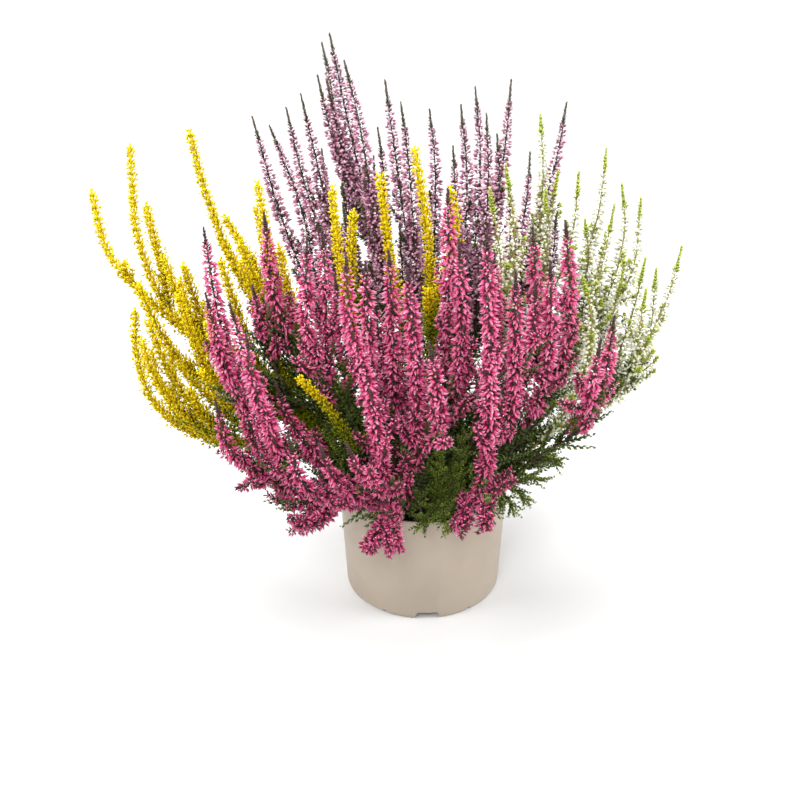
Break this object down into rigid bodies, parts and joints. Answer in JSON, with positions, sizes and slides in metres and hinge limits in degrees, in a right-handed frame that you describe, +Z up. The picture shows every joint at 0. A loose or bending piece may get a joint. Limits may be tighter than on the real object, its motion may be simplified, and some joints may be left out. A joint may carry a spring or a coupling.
{
  "type": "potted heather",
  "caption": "Bushy potted heather of gold, lilac, white and dark pink bud shoots fanning upwards from a round taupe plastic nursery pot with drain notches.",
  "frame": {"origin": "middle of the pot's base, on the surface that it stands on", "axes": "+Z up the pot's axis, -Y towards the front of the plant, +X to the right seen from the front"},
  "size_m": [0.4006, 0.2583, 0.386],
  "materials": {
    "pot_plastic": "taupe moulded polypropylene, smooth and softly matt",
    "soil": "damp dark peat",
    "gold_foliage": "bright yellow scale leaves, olive lower down, matt",
    "lilac_bloom": "mauve buds on dark olive-brown leafy stems, matt",
    "white_bloom": "greenish white buds on yellow-green leafy stems, matt",
    "pink_bloom": "deep pink buds with pale edges on dark leafy stems, satin",
    "green_foliage": "dark green scale leaves, matt"
  },
  "bodies": {
    "root": {"pot": "pot_plastic", "soil": "soil", "gold_far_left": "gold_foliage", "gold_left_high": "gold_foliage", "gold_left_tall": "gold_foliage", "gold_left_low": "gold_foliage", "gold_left_front": "gold_foliage", "gold_left_inner": "gold_foliage", "gold_left_fan": "gold_foliage", "gold_behind_pink": "gold_foliage", "gold_centre_left": "gold_foliage", "gold_centre": "gold_foliage", "gold_centre_right": "gold_foliage", "gold_right": "gold_foliage", "gold_back": "gold_foliage", "lilac_left": "lilac_bloom", "lilac_left_pair": "lilac_bloom", "lilac_tallest": "lilac_bloom", "lilac_upright": "lilac_bloom", "lilac_middle": "lilac_bloom", "lilac_middle_back": "lilac_bloom", "lilac_right_of_middle": "lilac_bloom", "lilac_right_back": "lilac_bloom", "lilac_right": "lilac_bloom", "lilac_right_tall": "lilac_bloom", "lilac_right_front": "lilac_bloom", "lilac_far_right": "lilac_bloom", "lilac_back_left": "lilac_bloom", "white_front": "white_bloom", "white_tall": "white_bloom", "white_middle": "white_bloom", "white_right_tall": "white_bloom", "white_right_front": "white_bloom", "white_right_pair": "white_bloom", "white_far_right": "white_bloom", "white_low_front": "white_bloom", "pink_far_left": "pink_bloom", "pink_left": "pink_bloom", "pink_low_left": "pink_bloom", "pink_left_column": "pink_bloom", "pink_left_middle": "pink_bloom", "pink_front": "pink_bloom", "pink_front_second": "pink_bloom", "pink_front_third": "pink_bloom", "pink_front_middle": "pink_bloom", "pink_middle": "pink_bloom", "pink_middle_front": "pink_bloom", "pink_front_right": "pink_bloom", "pink_right_slender": "pink_bloom", "pink_right_column": "pink_bloom", "pink_right_second": "pink_bloom", "pink_right_tall": "pink_bloom", "pink_far_right": "pink_bloom", "pink_back": "pink_bloom", "green_front": "green_foliage", "green_front_right": "green_foliage", "green_right": "green_foliage", "green_back_right": "green_foliage", "green_back_left": "green_foliage", "green_left": "green_foliage"}
  },
  "joints": []
}
